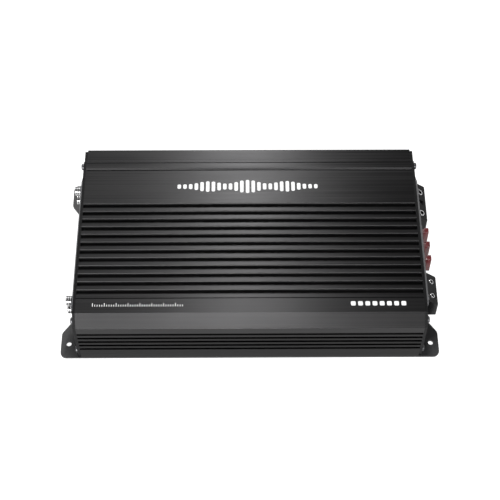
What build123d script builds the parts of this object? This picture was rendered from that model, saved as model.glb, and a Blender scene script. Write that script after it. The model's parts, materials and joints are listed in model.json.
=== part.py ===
from build123d import *
import os
from math import atan2, cos, pi, sin

os.makedirs("parts", exist_ok=True)

# A car amplifier, in millimetres. X runs along the fins with the power side at +X,
# Y runs from the front face to the rear, and Z is up from the surface it stands on.

# Driving dimensions
body_length = 300.0  # over both end plates
body_depth = 186.0
body_height = 62.0  # top of the fins
plate = 2.5  # end plate thickness
sheet = 2.0  # bottom plate thickness
wall = 5.5  # front and rear walls of the extrusion
ceiling = 53.5  # underside of the extrusion's top
clear = 0.05  # radial clearance of a running fit

half_length = body_length / 2
half_shell = half_length - plate
front = -body_depth / 2
rear = body_depth / 2

# Fins on top, counted from the rear groove to the front one
fin_grooves = 12
fin_pitch = 8.145
groove_width = 4.6
groove_floor = 58.7
rear_groove_edge = front + 121.9
fin_chamfer = 0.6

# Grooves along the front and rear walls
wall_grooves = 5
wall_groove_low = 17.0
wall_groove_pitch = 6.1
wall_groove_height = 3.0
wall_groove_depth = 2.0

# Ridge across the top near the rear edge
ridge_top = 62.6
rear_band = 58.3

# End plate screws, the same four places at both ends
end_screw_places = [
    (front + 5.2, 7.5),
    (front + 9.0, 50.0),
    (front + 166.5, 57.3),
    (rear - 5.2, 7.5),
]
end_screw_radius = 1.55
end_screw_grip = 12.0
pan_head_radius = 3.0
pan_head_height = 2.3

# Mounting feet, folded out of the bottom plate's corners
foot_reach = 16.2
foot_flat = 24.1
foot_taper = 46.6
foot_hole_radius = 2.3
foot_hole_inset = 6.9
foot_hole_from_edge = 13.6

# Main circuit board
board_bottom = 8.0
board_thickness = 1.6
board_top = board_bottom + board_thickness
board_half_length = 141.0
board_front = front + 17.0
board_rear = front + 169.0
board_screw_places = [(x, y) for x in (-118.0, 0.0, 118.0) for y in (board_front + 5, board_rear - 5)]
board_screw_radius = 1.25

# Cover strips on the outside of the end plates
bezel = 2.0
bezel_face = half_length + bezel


def finish(part, name):
    part.label = name
    export_step(part, f"parts/{name}.step")
    return part


def end_plane(side, distance, y=0.0, z=0.0):
    # A plane facing out of the left (-1) or right (1) end, with its own x towards the rear
    return Plane(origin=(side * distance, y, z), x_dir=(0, 1, 0), z_dir=(side, 0, 0))


def end_point(side, y, z):
    # Seen from outside the left end, the plane's own y runs downwards
    return (y, side * z)


# --- heatsink shell: one extrusion that is top, front and rear of the case ---

shell_outline = [
    (front, sheet),
    (front, 51.2),
    (front + 9.5, body_height),
    (front + 23.5, body_height),
    (front + 23.5, body_height - 0.8),
    (front + 24.3, body_height - 0.8),
    (front + 24.3, body_height),
    (front + 158.5, body_height),
    (front + 158.5, 59.9),
    (front + 159.6, 59.9),
    (front + 159.6, ridge_top - 1.5),
    (front + 161.1, ridge_top),
    (front + 166.6, ridge_top),
    (front + 166.6, ridge_top - 0.6),
    (front + 167.3, ridge_top - 0.6),
    (front + 167.3, ridge_top),
    (front + 169.5, ridge_top),
    (front + 170.0, ridge_top - 0.5),
    (front + 170.0, rear_band),
    (rear - 1.5, rear_band),
    (rear, rear_band - 1.5),
    (rear, sheet),
]
ledge = 14.5
ledge_top = 5.5
cavity_outline = [
    (front + ledge, sheet),
    (front + ledge, ledge_top),
    (front + wall, ledge_top),
    (front + wall, 47.5),
    (front + 11.5, ceiling),
    (rear - wall - 2, ceiling),
    (rear - wall, ceiling - 2),
    (rear - wall, ledge_top),
    (rear - ledge, ledge_top),
    (rear - ledge, sheet),
]
bottom_screw_places = [(x, s * (rear - 10.5)) for x in (-130.0, -45.0, 45.0, 130.0) for s in (-1, 1)]
bottom_screw_radius = 1.5

# Rows of clamped transistors along both walls
transistor_pitch = 18.0
transistors_in_row = 4
row_centres = {-1: 57.0, 1: -57.0}
clamp_screw_height = 20.05
clamp_screw_radius = 1.25
strip = 0.3


def row_places(side):
    first = row_centres[side] - (transistors_in_row - 1) / 2 * transistor_pitch
    return [first + transistor_pitch * i for i in range(transistors_in_row)]


def clamp_places(side):
    return [x + transistor_pitch / 2 for x in row_places(side)[:-1]]


def wall_plane(side, inset):
    # A plane parallel to the front (-1) or rear (1) wall, facing into the case, with its own x along +X
    return Plane(origin=(0, side * (rear - inset), 0), x_dir=(1, 0, 0), z_dir=(0, -side, 0))


def wall_point(side, x, z):
    # The plane's own y runs up on the rear wall's plane and down on the front wall's
    return (x, side * z)


with BuildPart() as heatsink_shell:
    with BuildSketch(Plane.YZ.offset(-half_shell)):
        with BuildLine():
            Polyline(*shell_outline, close=True)
        make_face()
        with BuildLine():
            Polyline(*cavity_outline, close=True)
        make_face(mode=Mode.SUBTRACT)
        for k in range(fin_grooves):
            edge = rear_groove_edge - k * fin_pitch
            with BuildLine():
                Polyline(
                    (edge - groove_width, body_height + 1),
                    (edge - groove_width, groove_floor),
                    (edge, groove_floor),
                    (edge, body_height - fin_chamfer),
                    (edge + fin_chamfer, body_height),
                    (edge + fin_chamfer, body_height + 1),
                    close=True,
                )
            make_face(mode=Mode.SUBTRACT)
        for k in range(wall_grooves):
            with Locations(
                (front, wall_groove_low + k * wall_groove_pitch),
                (rear, wall_groove_low + k * wall_groove_pitch),
            ):
                Rectangle(2 * wall_groove_depth, wall_groove_height, mode=Mode.SUBTRACT)
        with Locations(*[p for p in end_screw_places if p[1] < rear_band - 5]):
            Circle(3.7)
        with Locations(*end_screw_places):
            Circle(end_screw_radius + clear, mode=Mode.SUBTRACT)
    extrude(amount=2 * half_shell)
    with BuildSketch(Plane.XY.offset(sheet)):
        with Locations(*bottom_screw_places):
            Circle(bottom_screw_radius + clear)
    extrude(amount=ledge_top - sheet, mode=Mode.SUBTRACT)
    for side in (-1, 1):
        with BuildSketch(wall_plane(side, wall)):
            with Locations(*[wall_point(side, x, clamp_screw_height) for x in clamp_places(side)]):
                Circle(clamp_screw_radius + clear)
        extrude(amount=-3.8, mode=Mode.SUBTRACT)
finish(heatsink_shell.part, "heatsink_shell")


# --- bottom plate: pressed sheet with four feet ---

with BuildPart() as bottom_plate:
    with BuildSketch() as plate_outline:
        foot_outer = half_length + foot_reach
        quarter = [(half_length, foot_taper), (foot_outer, foot_flat), (foot_outer, 0)]
        right_front = [(x, front + y) for x, y in quarter]
        left_front = [(-x, y) for x, y in reversed(right_front)]
        left_rear = [(x, -y) for x, y in reversed(left_front)]
        right_rear = [(x, -y) for x, y in reversed(right_front)]
        with BuildLine():
            Polyline(*right_front, *left_front, *left_rear, *right_rear, close=True)
        make_face()
        corners = plate_outline.vertices().filter_by(lambda v: abs(v.X) > half_length + 1)
        fillet(corners.filter_by(lambda v: abs(v.Y) > rear - 1), 5.5)
        tapers = plate_outline.vertices().filter_by(lambda v: abs(abs(v.Y) - (rear - foot_flat)) < 0.01)
        fillet(tapers, 6.0)
        foot_x = half_length + foot_reach - foot_hole_inset
        foot_y = rear - foot_hole_from_edge
        with GridLocations(2 * foot_x, 2 * foot_y, 2, 2):
            Circle(foot_hole_radius, mode=Mode.SUBTRACT)
        with Locations(*board_screw_places):
            Circle(2.0 + clear, mode=Mode.SUBTRACT)
    extrude(amount=sheet)
    with Locations(*[Pos(x, y, 0) * Rot(180, 0, 0) for x, y in bottom_screw_places]):
        CounterSinkHole(radius=1.7, counter_sink_radius=3.2, depth=sheet, counter_sink_angle=90)
finish(bottom_plate.part, "bottom_plate")

# Countersunk screws that hold the bottom plate to the extrusion, flush with its underside
with BuildPart() as bottom_plate_screws:
    for x, y in bottom_screw_places:
        with BuildSketch(Plane(origin=(x, y, 0), x_dir=(1, 0, 0), z_dir=(0, -1, 0))):
            with BuildLine():
                Polyline((0, 0.1), (2.95, 0.1), (2.95, 0.2), (1.5, 1.65), (1.5, 5.2), (0, 5.2), close=True)
            make_face()
        revolve(axis=Axis((x, y, 0), (0, 0, 1)))
        with BuildSketch(Plane.XY.offset(0.1)):
            with Locations((x, y)):
                Rectangle(3.2, 0.8)
                Rectangle(0.8, 3.2)
        extrude(amount=0.9, mode=Mode.SUBTRACT)
finish(bottom_plate_screws.part, "bottom_plate_screws")


# --- what stands on the power end: two terminal blocks and three fuse holders ---


def make_pole(name, y, bore, screw, socket, lug, recess):
    # recess: how far the clamp screw's end lies under the slope
    sizes = {"bore": bore, "screw": screw, "socket": socket, "lug": lug, "recess": recess}
    return {"name": name, "y": front + y, **sizes}


power_block = {
    "y": (front + 126.2, front + 165.0),
    "outer": 163.0,
    "slope_low": 27.0,
    "slope_high": 35.0,
    "ring": 158.3,
    "bore_z": 18.3,
    "poles": [
        make_pole("ground", 156.6, 4.4, 2.95, 4.0, 11.6, 0.1),
        make_pole("remote", 145.0, 1.9, 1.45, 1.9, 6.2, 1.0),
        make_pole("battery", 133.4, 4.4, 2.95, 4.0, 11.6, 0.1),
    ],
}
speaker_block = {
    "y": (front + 36.6, front + 66.0),
    "outer": 165.0,
    "slope_low": 27.0,
    "slope_high": 37.5,
    "ring": 160.6,
    "bore_z": 17.8,
    "poles": [
        make_pole("speaker_plus", 59.0, 3.8, 2.4, 3.2, 10.6, 0.1),
        make_pole("speaker_minus", 44.7, 3.8, 2.4, 3.2, 10.6, 0.1),
    ],
}
block_bottom = 11.0
block_inner = 137.5
insert_back = 141.0
insert_bottom = 12.8
insert_gap = 0.1  # between an insert and its pocket
cover_depth = 3.6  # plastic over the insert, along the slope's normal
mouth_wall = 1.8  # plastic outside the insert's mouth
lug_width = 5.0
lug_thickness = 1.5
foot_thickness = 1.4


def slope_angle(block):
    return atan2(block["slope_high"] - block["slope_low"], block["outer"] - bezel_face)


def slope_height(block, x):
    drop = (block["slope_high"] - block["slope_low"]) / (block["outer"] - bezel_face)
    return block["slope_high"] - drop * (x - bezel_face)


def screw_plane(block, pole):
    # On the slope at the screw's centre, with its normal straight out of the slope
    tilt = slope_angle(block)
    centre = (block["ring"], pole["y"], slope_height(block, block["ring"]))
    return Plane(origin=centre, x_dir=(0, 1, 0), z_dir=(sin(tilt), 0, cos(tilt)))


def foot_end(block, pole):
    # How far below the slope the pressure foot may reach and still leave the cable bore open
    tilt = slope_angle(block)
    above_bore = slope_height(block, block["ring"]) - block["bore_z"] - pole["bore"]
    return (above_bore - sin(tilt) * (pole["screw"] - 0.15)) / cos(tilt) - 0.3


def block_section(block, inset_top, inset_out, back, bottom):
    # Side view of a terminal block, or of what fits inside it
    shift = inset_top / cos(slope_angle(block))
    outer = block["outer"] - inset_out
    top = block["slope_high"] - shift
    return [
        (back, bottom),
        (outer, bottom),
        (outer, slope_height(block, outer) - shift),
        (bezel_face, top),
        (back, top),
    ]


def side_plane(y):
    # A plane facing the rear, with its own x along -X and its own y up
    return Plane(origin=(0, y, 0), x_dir=(-1, 0, 0), z_dir=(0, 1, 0))


def side_outline(points):
    return [(-x, z) for x, z in points]


def make_inserts(block, name):
    with BuildPart() as inserts:
        for pole in block["poles"]:
            section = block_section(block, cover_depth, mouth_wall, insert_back, insert_bottom)
            with BuildSketch(side_plane(pole["y"] - pole["lug"] / 2)):
                with BuildLine():
                    Polyline(*side_outline(section), close=True)
                make_face()
            extrude(amount=pole["lug"])
            lug = [
                (insert_back, insert_bottom),
                (insert_back, insert_bottom + lug_thickness),
                (132.0, insert_bottom + lug_thickness),
                (132.0, board_top),
                (133.5, board_top),
                (133.5, insert_bottom),
            ]
            with BuildSketch(side_plane(pole["y"] - lug_width / 2)):
                with BuildLine():
                    Polyline(*side_outline(lug), close=True)
                make_face()
            extrude(amount=lug_width)
            with BuildSketch(end_plane(1, block["outer"], pole["y"], block["bore_z"])):
                Circle(pole["bore"])
            extrude(amount=-(block["outer"] - insert_back), mode=Mode.SUBTRACT)
            with BuildSketch(screw_plane(block, pole)):
                Circle(pole["screw"] + clear)
            extrude(amount=-(foot_end(block, pole) + pole["bore"]), mode=Mode.SUBTRACT)
    return finish(inserts.part, name)


def make_housing(block, name):
    low, high = block["y"]
    with BuildPart() as housing:
        with BuildSketch(side_plane(low)):
            with BuildLine():
                Polyline(*side_outline(block_section(block, 0, 0, block_inner, block_bottom)), close=True)
            make_face()
        extrude(amount=high - low)
        fillet(housing.edges().filter_by(Axis.Z).group_by(Axis.X)[-1], 1.0)
        for pole in block["poles"]:
            pocket = pole["lug"] + 2 * insert_gap
            section = block_section(
                block,
                cover_depth - insert_gap,
                mouth_wall - insert_gap,
                insert_back - insert_gap,
                insert_bottom - insert_gap,
            )
            with BuildSketch(side_plane(pole["y"] - pocket / 2)):
                with BuildLine():
                    Polyline(*side_outline(section), close=True)
                make_face()
            extrude(amount=pocket, mode=Mode.SUBTRACT)
            lug_z = insert_bottom + lug_thickness / 2
            with BuildSketch(end_plane(1, insert_back, pole["y"], lug_z)):
                Rectangle(lug_width + 0.4, lug_thickness + 0.4)
            extrude(amount=-(insert_back - block_inner), mode=Mode.SUBTRACT)
            with BuildSketch(end_plane(1, block["outer"], pole["y"], block["bore_z"])):
                Circle(pole["bore"] + 0.5)
            extrude(amount=-mouth_wall - 1, mode=Mode.SUBTRACT)
            with BuildSketch(screw_plane(block, pole)):
                Circle(pole["screw"] + 0.35)
            extrude(amount=-cover_depth - 1, mode=Mode.SUBTRACT)
            if pole["name"] == "remote":
                with BuildSketch(screw_plane(block, pole)):
                    Rectangle(4.6, 5.6)
                extrude(amount=-0.8, mode=Mode.SUBTRACT)
    return finish(housing.part, name)


def make_clamp_screw(block, pole):
    # A set screw with a hexagon socket, and the swivelling foot that it presses on the wire
    end = foot_end(block, pole)
    foot_top = end - foot_thickness
    neck = pole["screw"] * 0.4
    plane = screw_plane(block, pole)
    with BuildPart() as screw:
        with BuildSketch(plane.offset(-pole["recess"])):
            Circle(pole["screw"])
        extrude(amount=-(foot_top - 0.05 - pole["recess"]))
        chamfer(screw.edges().filter_by(GeomType.CIRCLE), 0.25)
        with BuildSketch(plane.offset(-pole["recess"])):
            RegularPolygon(pole["socket"] / 2, 6, major_radius=False)
        extrude(amount=-min(2.8, 0.55 * foot_top), mode=Mode.SUBTRACT)
        with BuildSketch(plane.offset(-foot_top)):
            Circle(neck + clear)
        extrude(amount=1.25, mode=Mode.SUBTRACT)
    finish(screw.part, f"{pole['name']}_screw")
    with BuildPart() as foot:
        with BuildSketch(plane.offset(-foot_top)):
            Circle(pole["screw"] - 0.15)
        extrude(amount=-foot_thickness)
        with BuildSketch(plane.offset(-foot_top)):
            Circle(neck)
        extrude(amount=1.1)
    finish(foot.part, f"{pole['name']}_foot")


make_inserts(power_block, "power_terminal_inserts")
make_inserts(speaker_block, "speaker_terminal_inserts")
make_housing(power_block, "power_terminal_housing")
make_housing(speaker_block, "speaker_terminal_housing")
for block in (power_block, speaker_block):
    for pole in block["poles"]:
        make_clamp_screw(block, pole)

# Blade fuses stand on edge, side by side between the two blocks
fuse_places = {"rear": front + 110.0, "middle": front + 95.4, "front": front + 80.8}
fuse_z = 27.0
fuse_tip = 161.5
fuse_head = (5.1, 19.1)
fuse_head_depth = 3.9
fuse_neck = (3.9, 15.8)
fuse_neck_inner = 150.4
blade = (0.65, 5.2)
blade_offset = 4.7
blade_inner = 143.4
holder_size = (8.2, 23.0)
holder_face = bezel_face + 3.5
holder_inner = 136.0
clip = (2.3, 5.2)
clip_inner = 138.0
clip_outer = 147.5


def make_fuse(name, y):
    with BuildPart() as cap:
        with BuildSketch(end_plane(1, fuse_neck_inner, y, fuse_z)):
            Rectangle(*fuse_neck)
        extrude(amount=fuse_tip - fuse_head_depth - fuse_neck_inner)
        with BuildSketch(end_plane(1, fuse_tip - fuse_head_depth, y, fuse_z)):
            Rectangle(*fuse_head)
        extrude(amount=fuse_head_depth)
        fillet(cap.edges().filter_by(Axis.X).group_by(Axis.Y)[-1], 0.8)
        fillet(cap.edges().filter_by(Axis.X).group_by(Axis.Y)[0], 0.8)
        with BuildSketch(end_plane(1, fuse_tip, y, fuse_z)):
            with GridLocations(0, 12.6, 1, 2):
                Rectangle(2.4, 2.6)
        extrude(amount=-1.2, mode=Mode.SUBTRACT)
        with BuildSketch(end_plane(1, fuse_neck_inner, y, fuse_z)):
            with GridLocations(0, 2 * blade_offset, 1, 2):
                Rectangle(blade[0] + 0.1, blade[1] + 0.1)
        extrude(amount=6.0, mode=Mode.SUBTRACT)
        with BuildSketch(end_plane(1, fuse_neck_inner, y, fuse_z)):
            Rectangle(blade[0] + 0.1, 2 * blade_offset)
        extrude(amount=6.0, mode=Mode.SUBTRACT)
    finish(cap.part, f"{name}_fuse_cap")
    with BuildPart() as blades:
        with BuildSketch(end_plane(1, blade_inner, y, fuse_z)):
            with GridLocations(0, 2 * blade_offset, 1, 2):
                Rectangle(*blade)
        extrude(amount=fuse_neck_inner + 5.8 - blade_inner)
        tips = blades.edges().filter_by(Axis.Y).group_by(Axis.X)[0]
        chamfer(tips, 0.9)
        with BuildSketch(end_plane(1, fuse_neck_inner + 3.6, y, fuse_z)):
            Rectangle(0.3, 2 * blade_offset)
        extrude(amount=1.4)
    finish(blades.part, f"{name}_fuse_blades")


for name, y in fuse_places.items():
    make_fuse(name, y)

with BuildPart() as fuse_holders:
    for y in fuse_places.values():
        with BuildSketch(end_plane(1, holder_inner, y, fuse_z)):
            Rectangle(*holder_size)
        extrude(amount=holder_face - holder_inner)
        with BuildSketch(end_plane(1, holder_face, y, fuse_z)):
            Rectangle(fuse_neck[0] + 0.6, fuse_neck[1] + 0.6)
        extrude(amount=-(holder_face - fuse_neck_inner + 0.4), mode=Mode.SUBTRACT)
        with BuildSketch(end_plane(1, fuse_neck_inner, y, fuse_z)):
            with GridLocations(0, 2 * blade_offset, 1, 2):
                Rectangle(clip[0] + 0.2, clip[1] + 0.2)
        extrude(amount=-(fuse_neck_inner - clip_inner + 0.1), mode=Mode.SUBTRACT)
    fillet(fuse_holders.edges().filter_by(Axis.X).group_by(SortBy.LENGTH)[-1], 0.8)
finish(fuse_holders.part, "fuse_holders")

with BuildPart() as fuse_clips:
    for y in fuse_places.values():
        with BuildSketch(end_plane(1, clip_inner, y, fuse_z)):
            with GridLocations(0, 2 * blade_offset, 1, 2):
                Rectangle(*clip)
        extrude(amount=clip_outer - clip_inner)
        with BuildSketch(end_plane(1, clip_outer, y, fuse_z)):
            with GridLocations(0, 2 * blade_offset, 1, 2):
                Rectangle(blade[0] + 0.1, clip[1] + 1)
        extrude(amount=-(clip_outer - clip_inner - 1.5), mode=Mode.SUBTRACT)
finish(fuse_clips.part, "fuse_clips")


# --- what stands on the input end ---

jack_places = [(front + y, z) for y in (35.0, 152.0) for z in (26.5, 40.0)]
jack_tip = half_length + 8.9
jack_radius = 4.2
jack_bore = 3.6
jack_inner = 136.0
dial_places = {
    "gain": front + 62.0,
    "low_pass": front + 77.0,
    "subsonic": front + 92.0,
    "bass_boost": front + 107.0,
}
dial_z = 33.0
dial_radius = 3.1
dial_tip = bezel_face + 1.4
dial_shaft = 1.5
pot_size = (10.0, 11.0)
pot_outer = half_shell - 0.3
pot_depth = 6.5
switch_place = (front + 128.0, 39.0)
switch_travel = 3.0
remote_jack_place = (front + 128.0, 21.0)
remote_jack_size = (13.0, 13.0)
remote_jack_hole = (9.6, 7.2)
lamp_places = [(front + 48.5, 37.0), (front + 48.5, 29.0)]
lamp_radius = 1.45
control_board_outer = pot_outer - pot_depth

with BuildPart() as jack_blocks:
    for y in sorted({place[0] for place in jack_places}):
        with BuildSketch(end_plane(-1, jack_inner, y, 33.25)):
            Rectangle(14.0, 28.0)
        extrude(amount=half_shell - 0.3 - jack_inner)
        with BuildSketch(end_plane(-1, jack_inner, y, 14.6)):
            with GridLocations(9.0, 0, 2, 1):
                Rectangle(2.0, 10.0)
        extrude(amount=2.0)
    fillet(jack_blocks.edges().filter_by(Axis.X).group_by(SortBy.LENGTH)[-1], 0.8)
    for y, z in jack_places:
        with BuildSketch(end_plane(-1, half_shell, y, z)):
            Circle(jack_radius + 0.02)
        extrude(amount=-6.5, mode=Mode.SUBTRACT)
        with BuildSketch(end_plane(-1, half_shell - 6.5, y, z)):
            Circle(1.2)
        extrude(amount=-6.0, mode=Mode.SUBTRACT)
finish(jack_blocks.part, "jack_blocks")

with BuildPart() as jack_shells:
    for y, z in jack_places:
        with BuildSketch(end_plane(-1, half_shell - 6.3, y, z)):
            Circle(jack_radius)
            Circle(jack_bore, mode=Mode.SUBTRACT)
        extrude(amount=jack_tip - half_shell + 6.3)
        with BuildSketch(end_plane(-1, half_shell - 0.2, y, z)):
            Circle(jack_radius + 0.9)
            Circle(jack_bore, mode=Mode.SUBTRACT)
        extrude(amount=bezel_face - half_shell + 1.2)
finish(jack_shells.part, "jack_shells")

with BuildPart() as jack_insulators:
    for y, z in jack_places:
        with BuildSketch(end_plane(-1, half_shell - 6.2, y, z)):
            Circle(jack_bore - 0.02)
            Circle(1.62, mode=Mode.SUBTRACT)
        extrude(amount=jack_tip - half_shell + 5.4)
finish(jack_insulators.part, "jack_insulators")

with BuildPart() as jack_contacts:
    for y, z in jack_places:
        with BuildSketch(end_plane(-1, half_shell - 12.0, y, z)):
            Circle(1.1)
        extrude(amount=6.4)
        with BuildSketch(end_plane(-1, half_shell - 5.6, y, z)):
            Circle(1.6)
        extrude(amount=1.0)
        with BuildSketch(end_plane(-1, half_shell - 4.6, y, z)):
            Circle(1.6)
            Circle(1.3, mode=Mode.SUBTRACT)
        extrude(amount=jack_tip - half_shell + 3.6)
finish(jack_contacts.part, "jack_contacts")

with BuildPart() as control_board:
    with BuildSketch(end_plane(-1, control_board_outer - board_thickness)):
        with Locations(end_point(-1, front + 90.5, (board_top + 0.2 + 49.0) / 2)):
            Rectangle(96.0, 49.0 - board_top - 0.2)
    extrude(amount=board_thickness)
finish(control_board.part, "control_board")

with BuildPart() as potentiometers:
    for y in dial_places.values():
        with BuildSketch(end_plane(-1, pot_outer, y, dial_z)):
            Rectangle(*pot_size)
        extrude(amount=-pot_depth)
        with BuildSketch(end_plane(-1, pot_outer, y, dial_z)):
            Circle(dial_shaft + clear)
        extrude(amount=-pot_depth + 1.0, mode=Mode.SUBTRACT)
finish(potentiometers.part, "potentiometers")


def make_dial(name, y):
    flat = dial_radius * 0.5
    with BuildPart() as dial:
        with BuildSketch(end_plane(-1, pot_outer - pot_depth + 1.3, y, dial_z)):
            Circle(dial_shaft)
        extrude(amount=pot_depth - 1.0)
        with BuildSketch(end_plane(-1, pot_outer + 0.3, y, dial_z)):
            Circle(dial_radius)
        extrude(amount=dial_tip - pot_outer - 0.3)
        chamfer(dial.faces().sort_by(Axis.X)[0].edges(), 0.3)
        with BuildSketch(end_plane(-1, dial_tip, y, dial_z)):
            Rectangle(0.9, 2 * dial_radius + 1)
        extrude(amount=-0.9, mode=Mode.SUBTRACT)
        with BuildSketch(end_plane(-1, dial_tip, y, dial_z)):
            with Locations((0, -flat)):
                Rectangle(1.7, 1.7)
        extrude(amount=-0.5, mode=Mode.SUBTRACT)
    finish(dial.part, f"{name}_dial")


for name, y in dial_places.items():
    make_dial(name, y)

with BuildPart() as phase_switch_body:
    with BuildSketch(end_plane(-1, pot_outer, *switch_place)):
        Rectangle(14.0, 7.0)
    extrude(amount=-pot_depth)
    with BuildSketch(end_plane(-1, pot_outer, *switch_place)):
        Rectangle(8.6, 3.2)
    extrude(amount=-3.0, mode=Mode.SUBTRACT)
finish(phase_switch_body.part, "phase_switch_body")

with BuildPart() as phase_switch_lever:
    lever_y = switch_place[0] - switch_travel / 2
    with BuildSketch(end_plane(-1, pot_outer - 2.6, lever_y, switch_place[1])):
        Rectangle(4.4, 2.6)
    extrude(amount=2.3)
    with BuildSketch(end_plane(-1, pot_outer - 0.3, lever_y, switch_place[1])):
        Rectangle(2.4, 2.4)
    extrude(amount=bezel_face + 0.8 - pot_outer + 0.3)
    chamfer(phase_switch_lever.faces().sort_by(Axis.X)[0].edges(), 0.3)
finish(phase_switch_lever.part, "phase_switch_lever")

with BuildPart() as remote_level_jack:
    with BuildSketch(end_plane(-1, pot_outer, *remote_jack_place)):
        Rectangle(*remote_jack_size)
    extrude(amount=-pot_depth)
    with BuildSketch(end_plane(-1, pot_outer, *remote_jack_place)):
        Rectangle(*remote_jack_hole)
        with Locations((0, remote_jack_hole[1] / 2 + 0.7)):
            Rectangle(3.6, 1.6)
    extrude(amount=-pot_depth + 1.0, mode=Mode.SUBTRACT)
finish(remote_level_jack.part, "remote_level_jack")

with BuildPart() as indicator_lamps:
    lamp_points = [end_point(-1, y, z) for y, z in lamp_places]
    with BuildSketch(end_plane(-1, control_board_outer + 0.1)):
        with Locations(*lamp_points):
            Circle(lamp_radius + 0.4)
    extrude(amount=1.0)
    with BuildSketch(end_plane(-1, control_board_outer + 1.1)):
        with Locations(*lamp_points):
            Circle(lamp_radius)
    extrude(amount=bezel_face - control_board_outer - 1.3)
    fillet(indicator_lamps.faces().group_by(Axis.X)[0].edges(), 0.9)
finish(indicator_lamps.part, "indicator_lamps")


# --- end plates and their cover strips ---


def plate_section():
    inset = 0.8
    return [
        (front + inset, sheet),
        (front + inset, 50.6),
        (front + 9.9, body_height - inset),
        (front + 169.2, body_height - inset),
        (front + 169.2, rear_band - inset),
        (rear - inset, rear_band - inset),
        (rear - inset, sheet),
    ]


def cut_power_openings(gap):
    # What the power end's plate and cover strip leave open for the blocks and fuse holders
    for block in (power_block, speaker_block):
        low, high = block["y"]
        top = block["slope_high"]
        with Locations(((low + high) / 2, (block_bottom + top) / 2)):
            Rectangle(high - low + 2 * gap, top - block_bottom + 2 * gap, mode=Mode.SUBTRACT)
    for y in fuse_places.values():
        with Locations((y, fuse_z)):
            Rectangle(holder_size[0] + 2 * gap, holder_size[1] + 2 * gap, mode=Mode.SUBTRACT)


def cut_input_openings(gap):
    # Holes for the jacks, dials, switch, remote socket and lamps
    for y, z in jack_places:
        with Locations(end_point(-1, y, z)):
            Circle(jack_radius + 0.9 + gap, mode=Mode.SUBTRACT)
    for y in dial_places.values():
        with Locations(end_point(-1, y, dial_z)):
            Circle(dial_radius + 0.3, mode=Mode.SUBTRACT)
    with Locations(end_point(-1, *switch_place)):
        Rectangle(6.4, 3.2, mode=Mode.SUBTRACT)
    with Locations(end_point(-1, remote_jack_place[0], remote_jack_place[1])):
        Rectangle(11.2, 10.6, mode=Mode.SUBTRACT)
    with Locations(*[end_point(-1, y, z) for y, z in lamp_places]):
        Circle(lamp_radius + 0.15, mode=Mode.SUBTRACT)


def cut_plate_screw_holes(side):
    with Locations(*[end_point(side, y, z) for y, z in end_screw_places]):
        Circle(end_screw_radius + 0.45, mode=Mode.SUBTRACT)


strip_screw_radius = 1.25
strip_screw_head = 2.4
strip_screw_height = 1.3
strip_screw_places = {
    -1: [(front + 25.0, 12.0), (front + 25.0, 50.0), (front + 145.0, 50.5), (front + 162.0, 12.0)],
    1: [(front + 30.0, 10.5), (front + 30.0, 52.0), (front + 142.0, 52.0), (front + 115.5, 9.8)],
}
strip_outlines = {
    -1: [(19.0, 6.5), (19.0, 53.5), (152.0, 53.5), (168.0, 44.5), (168.0, 6.5)],
    1: [(22.0, 5.0), (22.0, 57.0), (149.0, 57.0), (168.0, 44.0), (168.0, 5.0)],
}


def make_end_plate(side, name):
    with BuildPart() as end_plate:
        with BuildSketch(end_plane(side, half_shell)) as section:
            with BuildLine():
                Polyline(*[end_point(side, y, z) for y, z in plate_section()], close=True)
            make_face()
            high = section.vertices().filter_by(lambda v: abs(v.Y) > 40)
            fillet(high.sort_by(Axis.X)[-1], 3.0)
            cut_plate_screw_holes(side)
            with Locations(*[end_point(side, y, z) for y, z in strip_screw_places[side]]):
                Circle(strip_screw_radius + clear, mode=Mode.SUBTRACT)
            if side > 0:
                cut_power_openings(0.3)
            else:
                cut_input_openings(0.3)
        extrude(amount=plate)
    return finish(end_plate.part, name)


def make_cover_strip(side, name):
    with BuildPart() as cover:
        with BuildSketch(end_plane(side, half_length)) as section:
            outline = [end_point(side, front + y, z) for y, z in strip_outlines[side]]
            with BuildLine():
                Polyline(*outline, close=True)
            make_face()
            fillet(section.vertices(), 2.0)
            with Locations(*[end_point(side, y, z) for y, z in strip_screw_places[side]]):
                Circle(strip_screw_radius + 0.3, mode=Mode.SUBTRACT)
            if side > 0:
                cut_power_openings(0.2)
            else:
                cut_input_openings(0.2)
        extrude(amount=bezel)
    return finish(cover.part, name)


def make_pan_screws(places, distance, shank, head, head_height, grip, name):
    # The same screws at both ends of the case
    with BuildPart() as screws:
        for side in (-1, 1):
            seat = end_plane(side, distance)
            points = [end_point(side, y, z) for y, z in places[side]]
            with BuildSketch(seat):
                with Locations(*points):
                    Circle(head)
            extrude(amount=head_height)
            crowns = screws.faces().group_by(Axis.X)[-1 if side > 0 else 0]
            chamfer(crowns.edges(), head_height * 0.3)
            with BuildSketch(seat.offset(head_height)):
                with Locations(*points):
                    Rectangle(head * 1.1, head * 0.26)
                    Rectangle(head * 0.26, head * 1.1)
            extrude(amount=-head_height * 0.6, mode=Mode.SUBTRACT)
            with BuildSketch(seat):
                with Locations(*points):
                    Circle(shank)
            extrude(amount=-grip)
    return finish(screws.part, name)


make_end_plate(-1, "left_end_plate")
make_end_plate(1, "right_end_plate")
make_cover_strip(-1, "input_cover_strip")
make_cover_strip(1, "terminal_cover_strip")
make_pan_screws(
    {-1: end_screw_places, 1: end_screw_places},
    half_length,
    end_screw_radius,
    pan_head_radius,
    pan_head_height,
    end_screw_grip,
    "end_plate_screws",
)
make_pan_screws(
    strip_screw_places,
    bezel_face,
    strip_screw_radius,
    strip_screw_head,
    strip_screw_height,
    bezel + plate + 1.0,
    "cover_strip_screws",
)


# --- circuit board and what is soldered to it ---

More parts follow.
